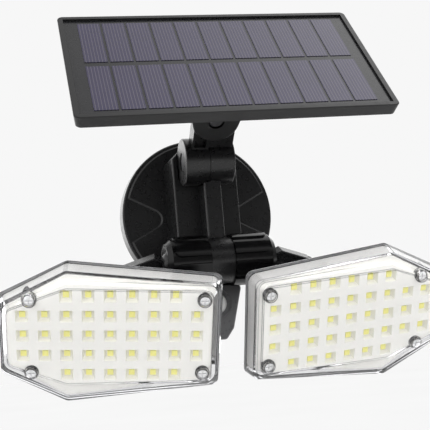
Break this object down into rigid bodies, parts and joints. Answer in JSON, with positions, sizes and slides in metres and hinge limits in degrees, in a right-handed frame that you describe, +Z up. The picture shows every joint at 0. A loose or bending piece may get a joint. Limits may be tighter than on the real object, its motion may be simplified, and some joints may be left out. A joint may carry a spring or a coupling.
{
  "type": "solar security light",
  "caption": "Black wall light with a tilting solar panel on top, flood heads on ball joints, lock collars and a motion sensor below.",
  "frame": {"origin": "centre of the round wall plate, on the wall", "axes": "+Z up, +Y into the wall, so the front faces -Y; +X to the viewer's right"},
  "size_m": [0.2406, 0.1311, 0.2079],
  "materials": {
    "housing_plastic": "semi-gloss moulded black",
    "panel_plastic": "semi-gloss moulded black",
    "shell_plastic": "semi-gloss moulded black",
    "collar_plastic": "gloss moulded black",
    "cup_plastic": "plain nylon",
    "plate_plastic": "plain moulded black",
    "button_rubber": "soft touch",
    "seal_rubber": "matt",
    "clear_cover": "clear and polished",
    "reflector_white": "satin white",
    "board_white": "white solder mask",
    "board_green": "green solder mask",
    "led_phosphor": "yellow phosphor",
    "dome_white": "milky",
    "bolt_steel": "blackened",
    "screw_steel": "bright plated",
    "can_steel": "bare can",
    "laminate_dark": "smooth resin",
    "cell_silicon": "fine lines under resin",
    "battery_sleeve": "shrink sleeve over a metal can",
    "switch_black": "plain"
  },
  "bodies": {
    "base": {"wall_plate": "plate_plastic", "wall_seal": "seal_rubber", "set_screws": "bolt_steel", "front_housing": "housing_plastic", "battery": "battery_sleeve", "battery_holder": "switch_black", "control_board": "board_green", "board_screws": "screw_steel", "switch_board": "board_green", "tact_switch": "switch_black", "sensor_housing": "housing_plastic", "sensor_cover": "plate_plastic", "sensor_screws": "screw_steel", "pir_dome": "dome_white", "pir_sensor": "can_steel", "sensor_board": "board_green"},
    "link": {"panel_link": "collar_plastic", "hinge_bolt": "bolt_steel", "hinge_nut": "bolt_steel"},
    "panel": {"panel_bracket": "panel_plastic", "roll_bolt": "bolt_steel", "roll_nut": "bolt_steel", "panel_screws": "screw_steel", "panel_frame": "panel_plastic", "solar_laminate": "laminate_dark", "solar_cells": "cell_silicon"},
    "button": {"mode_button": "button_rubber"},
    "left_collar": {"left_collar": "collar_plastic"},
    "left_cup": {"left_ball_cup": "cup_plastic"},
    "left_head": {"left_head_arm": "shell_plastic", "left_arm_screws": "screw_steel", "left_back_shell": "shell_plastic", "left_head_seal": "seal_rubber", "left_led_board": "board_white", "left_leds": "led_phosphor", "left_reflector": "reflector_white", "left_lens_cover": "clear_cover", "left_cover_screws": "screw_steel"},
    "right_collar": {"right_collar": "collar_plastic"},
    "right_cup": {"right_ball_cup": "cup_plastic"},
    "right_head": {"right_head_arm": "shell_plastic", "right_arm_screws": "screw_steel", "right_back_shell": "shell_plastic", "right_head_seal": "seal_rubber", "right_led_board": "board_white", "right_leds": "led_phosphor", "right_reflector": "reflector_white", "right_lens_cover": "clear_cover", "right_cover_screws": "screw_steel"}
  },
  "joints": [
    {"name": "panel_tilt", "type": "hinge", "parent": "base", "child": "link", "pos_m": [0, -0.048, 0.0255], "axis": [1, 0, 0], "range_deg": [-50, 30]},
    {"name": "panel_roll", "type": "hinge", "parent": "link", "child": "panel", "pos_m": [-0.0016, -0.07485, 0.04795], "axis": [0, 0.6414, 0.7672], "range_deg": [-25, 25]},
    {"name": "mode_button_press", "type": "slide", "parent": "base", "child": "button", "axis": [-1, 0, 0], "range_m": [0, 0.0008], "stiffness_N_per_m": 1500},
    {"name": "left_collar_turn", "type": "hinge", "parent": "base", "child": "left_collar", "pos_m": [-0.024, -0.0522, -0.032], "axis": [-1, 0, 0], "range_deg": [0, 90]},
    {"name": "left_head_tilt", "type": "hinge", "parent": "base", "child": "left_cup", "pos_m": [-0.024, -0.0522, -0.032], "axis": [1, 0, 0], "range_deg": [-40, 25]},
    {"name": "left_head_swivel", "type": "hinge", "parent": "left_cup", "child": "left_head", "pos_m": [-0.024, -0.0522, -0.032], "axis": [0, -0.4664, 0.8846], "range_deg": [-15, 11]},
    {"name": "right_collar_turn", "type": "hinge", "parent": "base", "child": "right_collar", "pos_m": [0.024, -0.0522, -0.032], "axis": [1, 0, 0], "range_deg": [0, 90]},
    {"name": "right_head_tilt", "type": "hinge", "parent": "base", "child": "right_cup", "pos_m": [0.024, -0.0522, -0.032], "axis": [1, 0, 0], "range_deg": [-40, 25]},
    {"name": "right_head_swivel", "type": "hinge", "parent": "right_cup", "child": "right_head", "pos_m": [0.024, -0.0522, -0.032], "axis": [0, -0.4756, 0.8796], "range_deg": [-5, 20]}
  ]
}
